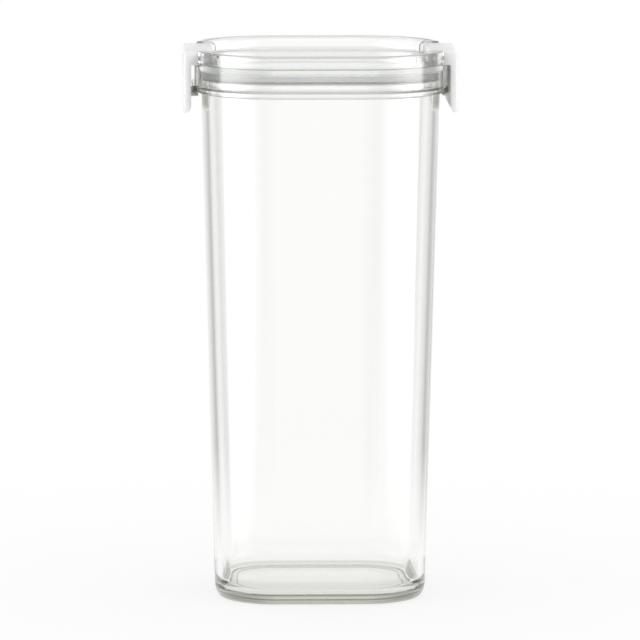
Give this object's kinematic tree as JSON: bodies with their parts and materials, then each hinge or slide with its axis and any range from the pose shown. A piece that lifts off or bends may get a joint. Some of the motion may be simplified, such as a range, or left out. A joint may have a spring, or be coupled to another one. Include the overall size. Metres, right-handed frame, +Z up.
{
  "type": "food canister",
  "caption": "Tall clear food canister with rounded-square walls, a sealed clip-on lid and a hinged latch on each side.",
  "frame": {"origin": "middle of the foot, on the surface that the canister stands on", "axes": "+Z up, +X towards the right-hand latch, -Y towards the viewer; the latches face -X and +X"},
  "size_m": [0.117, 0.1048, 0.235],
  "materials": {
    "clear_jar": "clear, polished",
    "clear_lid": "clear, polished",
    "silicone": "translucent, satin",
    "latch_plastic": "translucent white, satin",
    "pin_steel": "polished"
  },
  "bodies": {
    "jar": {"jar": "clear_jar"},
    "lid": {"lid": "clear_lid", "gasket": "silicone", "hinge_pin_left": "pin_steel", "hinge_pin_right": "pin_steel"},
    "latch_left": {"latch_left": "latch_plastic"},
    "latch_right": {"latch_right": "latch_plastic"}
  },
  "joints": [
    {"name": "lid_lift", "type": "slide", "parent": "jar", "child": "lid", "axis": [0, 0, 1], "range_m": [0, 0.09]},
    {"name": "latch_left_swing", "type": "hinge", "parent": "lid", "child": "latch_left", "pos_m": [-0.0481, 0, 0.23145], "axis": [0, 1, 0], "range_deg": [0, 170]},
    {"name": "latch_right_swing", "type": "hinge", "parent": "lid", "child": "latch_right", "pos_m": [0.0481, 0, 0.23145], "axis": [0, -1, 0], "range_deg": [0, 170]}
  ]
}
